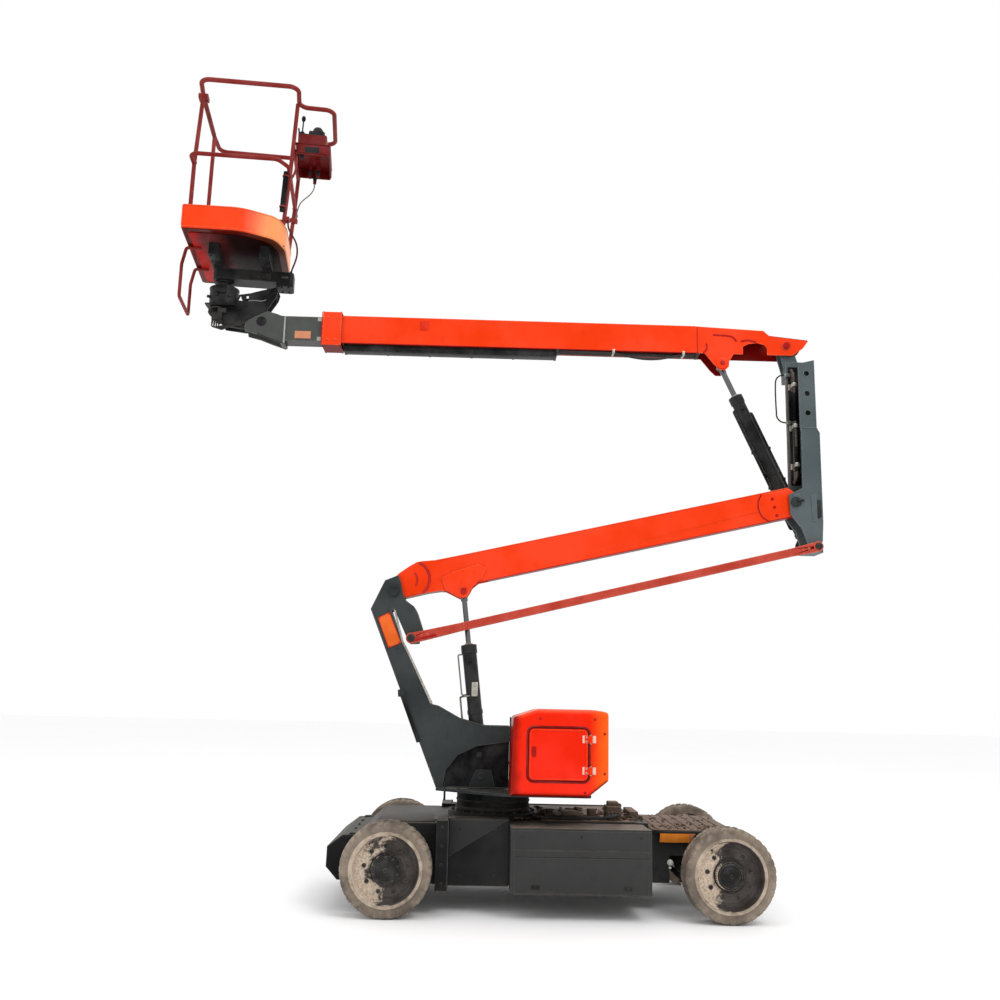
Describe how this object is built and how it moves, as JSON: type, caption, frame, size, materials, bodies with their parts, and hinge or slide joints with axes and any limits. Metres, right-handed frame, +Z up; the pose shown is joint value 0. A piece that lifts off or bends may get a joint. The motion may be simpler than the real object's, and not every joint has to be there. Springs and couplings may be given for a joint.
{
  "type": "articulating boom lift",
  "caption": "Narrow battery-electric articulating boom lift with side-by-side folding booms, a telescoping upper boom, and a self-levelling rotating platform.",
  "frame": {"origin": "on the ground, under the middle of the machine's overall length and width in the stored pose; the slewing axis stands 50 mm from it towards +X", "axes": "+X along the chassis from the platform end to the upright end, +Y to the far side of the picture, +Z up"},
  "size_m": [4.69, 1.5, 5.6449],
  "materials": {
    "orange_paint": "gloss paint, slightly weathered",
    "dark_grey_paint": "satin paint",
    "upright_grey": "satin paint",
    "red_paint": "gloss paint",
    "black_paint": "satin paint",
    "chassis_paint": "satin paint under dust",
    "rim_paint": "dusty paint",
    "tyre_rubber": "dusty solid rubber",
    "hose_rubber": "black hose cover",
    "chromed_rod": "polished",
    "tub_plastic": "moulded",
    "battery_case": "moulded",
    "cast_parts": "machined and painted"
  },
  "bodies": {
    "chassis": {"chassis_frame": "chassis_paint", "chassis_nose": "chassis_paint", "frame_plates": "chassis_paint", "battery_boxes": "chassis_paint", "batteries": "battery_case", "drive_axle": "cast_parts", "steer_axle": "cast_parts", "slew_ring": "cast_parts"},
    "knuckle_near": {"knuckle_near": "cast_parts"},
    "knuckle_far": {"knuckle_far": "cast_parts"},
    "steer_link": {"steer_link": "cast_parts"},
    "turntable": {"kingpost": "dark_grey_paint", "hood_near": "orange_paint", "hood_far": "orange_paint", "counterweight": "cast_parts", "power_units": "cast_parts", "swing_motor": "cast_parts"},
    "hood_door_near": {"hood_door_near": "orange_paint"},
    "hood_door_far": {"hood_door_far": "orange_paint"},
    "lower_boom": {"lower_boom": "orange_paint"},
    "tie_rod": {"tie_rod": "red_paint"},
    "upright": {"upright": "upright_grey", "upright_hoses": "hose_rubber", "upright_loop_hose": "hose_rubber"},
    "lower_cylinder_barrel": {"lower_cylinder_barrel": "black_paint"},
    "lower_cylinder_rod": {"lower_cylinder_rod": "chromed_rod"},
    "upper_cylinder_barrel": {"upper_cylinder_barrel": "black_paint"},
    "upper_cylinder_rod": {"upper_cylinder_rod": "chromed_rod"},
    "upper_boom": {"upper_boom": "orange_paint", "cable_tray": "black_paint", "boom_hoses": "hose_rubber"},
    "fly_boom": {"fly_boom": "dark_grey_paint"},
    "platform_bracket": {"platform_bracket": "black_paint", "rotator": "cast_parts"},
    "basket": {"basket_support": "black_paint", "basket_tub": "tub_plastic", "basket_rails": "red_paint", "control_console": "red_paint", "entry_step": "red_paint", "console_cable": "hose_rubber", "tub_hose": "hose_rubber"},
    "entry_bar": {"entry_bar": "red_paint"},
    "wheel_drive_near": {"tyre_drive_near": "tyre_rubber", "rim_drive_near": "rim_paint"},
    "wheel_drive_far": {"tyre_drive_far": "tyre_rubber", "rim_drive_far": "rim_paint"},
    "wheel_steer_near": {"tyre_steer_near": "tyre_rubber", "rim_steer_near": "rim_paint"},
    "wheel_steer_far": {"tyre_steer_far": "tyre_rubber", "rim_steer_far": "rim_paint"}
  },
  "joints": [
    {"name": "swing", "type": "hinge", "parent": "chassis", "child": "turntable", "pos_m": [0.05, 0, 0.7], "axis": [0, 0, 1], "range_deg": [-177.5, 177.5]},
    {"name": "lower_boom_lift", "type": "hinge", "parent": "turntable", "child": "lower_boom", "pos_m": [-0.654, -0.13, 1.999], "axis": [0, -1, 0], "range_deg": [-39, 56]},
    {"name": "tie_rod_pivot", "type": "hinge", "parent": "turntable", "child": "tie_rod", "pos_m": [-0.525, -0.246, 1.684], "axis": [0, -1, 0], "range_deg": [-39.5, 56.5]},
    {"name": "upright_pivot", "type": "hinge", "parent": "lower_boom", "child": "upright", "pos_m": [2.10988, -0.13, 2.68606], "axis": [0, -1, 0], "range_deg": [-56.5, 39.5]},
    {"name": "lower_cylinder_pivot", "type": "hinge", "parent": "turntable", "child": "lower_cylinder_barrel", "pos_m": [-0.035, -0.13, 0.8], "axis": [0, -1, 0], "range_deg": [-1.08, 1.34]},
    {"name": "lower_cylinder_stroke", "type": "slide", "parent": "lower_cylinder_barrel", "child": "lower_cylinder_rod", "axis": [-0.123, 0, 0.9924], "range_m": [-0.2879, 0.4125]},
    {"name": "upper_boom_lift", "type": "hinge", "parent": "upright", "child": "upper_boom", "pos_m": [2.14688, 0.09, 3.90506], "axis": [0, 1, 0], "range_deg": [-22, 70]},
    {"name": "upper_cylinder_pivot", "type": "hinge", "parent": "upright", "child": "upper_cylinder_barrel", "pos_m": [2.272, 0.09, 2.44], "axis": [0, 1, 0], "range_deg": [-3.58, 10.3]},
    {"name": "upper_cylinder_stroke", "type": "slide", "parent": "upper_cylinder_barrel", "child": "upper_cylinder_rod", "axis": [-0.4149, 0, 0.9098], "range_m": [-0.1617, 0.5102]},
    {"name": "boom_extension", "type": "slide", "parent": "upper_boom", "child": "fly_boom", "axis": [-1, 0, 0], "range_m": [0, 1.2]},
    {"name": "platform_levelling", "type": "hinge", "parent": "fly_boom", "child": "platform_bracket", "pos_m": [-1.728, 0.09, 3.982], "axis": [0, 1, 0], "range_deg": [-70.5, 22.5]},
    {"name": "platform_rotation", "type": "hinge", "parent": "platform_bracket", "child": "basket", "pos_m": [-2.03, 0.09, 4.245], "axis": [0, 0, 1], "range_deg": [-90, 90]},
    {"name": "entry_bar_pivot", "type": "hinge", "parent": "basket", "child": "entry_bar", "pos_m": [-2.21399, -0.18038, 5.625], "axis": [0.9945, 0.1045, 0], "range_deg": [0, 85]},
    {"name": "hood_door_near_hinge", "type": "hinge", "parent": "turntable", "child": "hood_door_near", "pos_m": [0.633, -0.698, 0.97], "axis": [0, 0, 1], "range_deg": [0, 110]},
    {"name": "hood_door_far_hinge", "type": "hinge", "parent": "turntable", "child": "hood_door_far", "pos_m": [0.633, 0.698, 0.97], "axis": [0, 0, -1], "range_deg": [0, 110]},
    {"name": "steering_near", "type": "hinge", "parent": "chassis", "child": "knuckle_near", "pos_m": [1.479, -0.478, 0.2795], "axis": [0, 0, 1], "range_deg": [-35, 35]},
    {"name": "steering_far", "type": "hinge", "parent": "chassis", "child": "knuckle_far", "pos_m": [1.479, 0.478, 0.2795], "axis": [0, 0, 1], "range_deg": [-35.5, 35.5]},
    {"name": "steering_link", "type": "slide", "parent": "chassis", "child": "steer_link", "axis": [0, 1, 0], "range_m": [-0.14, 0.14]},
    {"name": "wheel_drive_near_spin", "type": "hinge", "parent": "chassis", "child": "wheel_drive_near", "pos_m": [-0.599, -0.661, 0.2795], "axis": [0, 1, 0], "continuous": true},
    {"name": "wheel_drive_far_spin", "type": "hinge", "parent": "chassis", "child": "wheel_drive_far", "pos_m": [-0.599, 0.661, 0.2795], "axis": [0, 1, 0], "continuous": true},
    {"name": "wheel_steer_near_spin", "type": "hinge", "parent": "knuckle_near", "child": "wheel_steer_near", "pos_m": [1.479, -0.661, 0.2795], "axis": [0, 1, 0], "continuous": true},
    {"name": "wheel_steer_far_spin", "type": "hinge", "parent": "knuckle_far", "child": "wheel_steer_far", "pos_m": [1.479, 0.661, 0.2795], "axis": [0, 1, 0], "continuous": true}
  ],
  "couplings": [
    {"joint": "tie_rod_pivot", "follows": "lower_boom_lift", "ratio": 1},
    {"joint": "upright_pivot", "follows": "lower_boom_lift", "ratio": -1},
    {"joint": "lower_cylinder_pivot", "follows": "lower_boom_lift", "ratio": 0.015},
    {"joint": "lower_cylinder_stroke", "follows": "lower_boom_lift", "m_per_rad": 0.42},
    {"joint": "upper_cylinder_pivot", "follows": "upper_boom_lift", "ratio": 0.14},
    {"joint": "upper_cylinder_stroke", "follows": "upper_boom_lift", "m_per_rad": 0.416},
    {"joint": "platform_levelling", "follows": "upper_boom_lift", "ratio": -1},
    {"joint": "steering_far", "follows": "steering_near", "ratio": 1},
    {"joint": "steering_link", "follows": "steering_near", "m_per_rad": -0.225}
  ]
}
